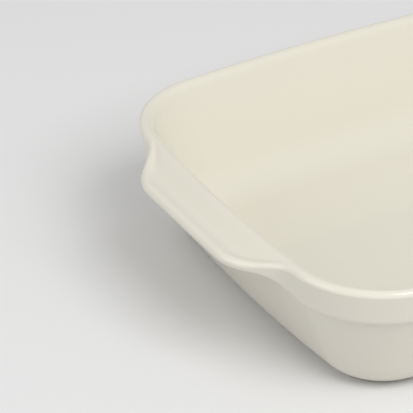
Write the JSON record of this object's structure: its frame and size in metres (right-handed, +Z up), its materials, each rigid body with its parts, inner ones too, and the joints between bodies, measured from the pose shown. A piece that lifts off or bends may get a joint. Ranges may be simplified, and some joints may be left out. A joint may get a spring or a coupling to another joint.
{
  "type": "lasagna dish",
  "caption": "Rectangular glazed stoneware baking dish with sloping walls, a stepped band round the rim and a lug handle on each short side.",
  "frame": {"origin": "centre of the base, on the plane that the foot ring stands on", "axes": "+Z up out of the basin, X along the long side through both handles, Y across the short side"},
  "size_m": [0.3768, 0.245, 0.062],
  "materials": {
    "bare_stoneware": "bare fired stoneware, matt, fine grained",
    "cream_glaze": "smooth off-white glaze, satin to glossy"
  },
  "bodies": {
    "root": {"stoneware_body": "bare_stoneware", "glaze_inside": "cream_glaze", "glaze_outside": "cream_glaze", "glaze_underside": "cream_glaze"}
  },
  "joints": []
}
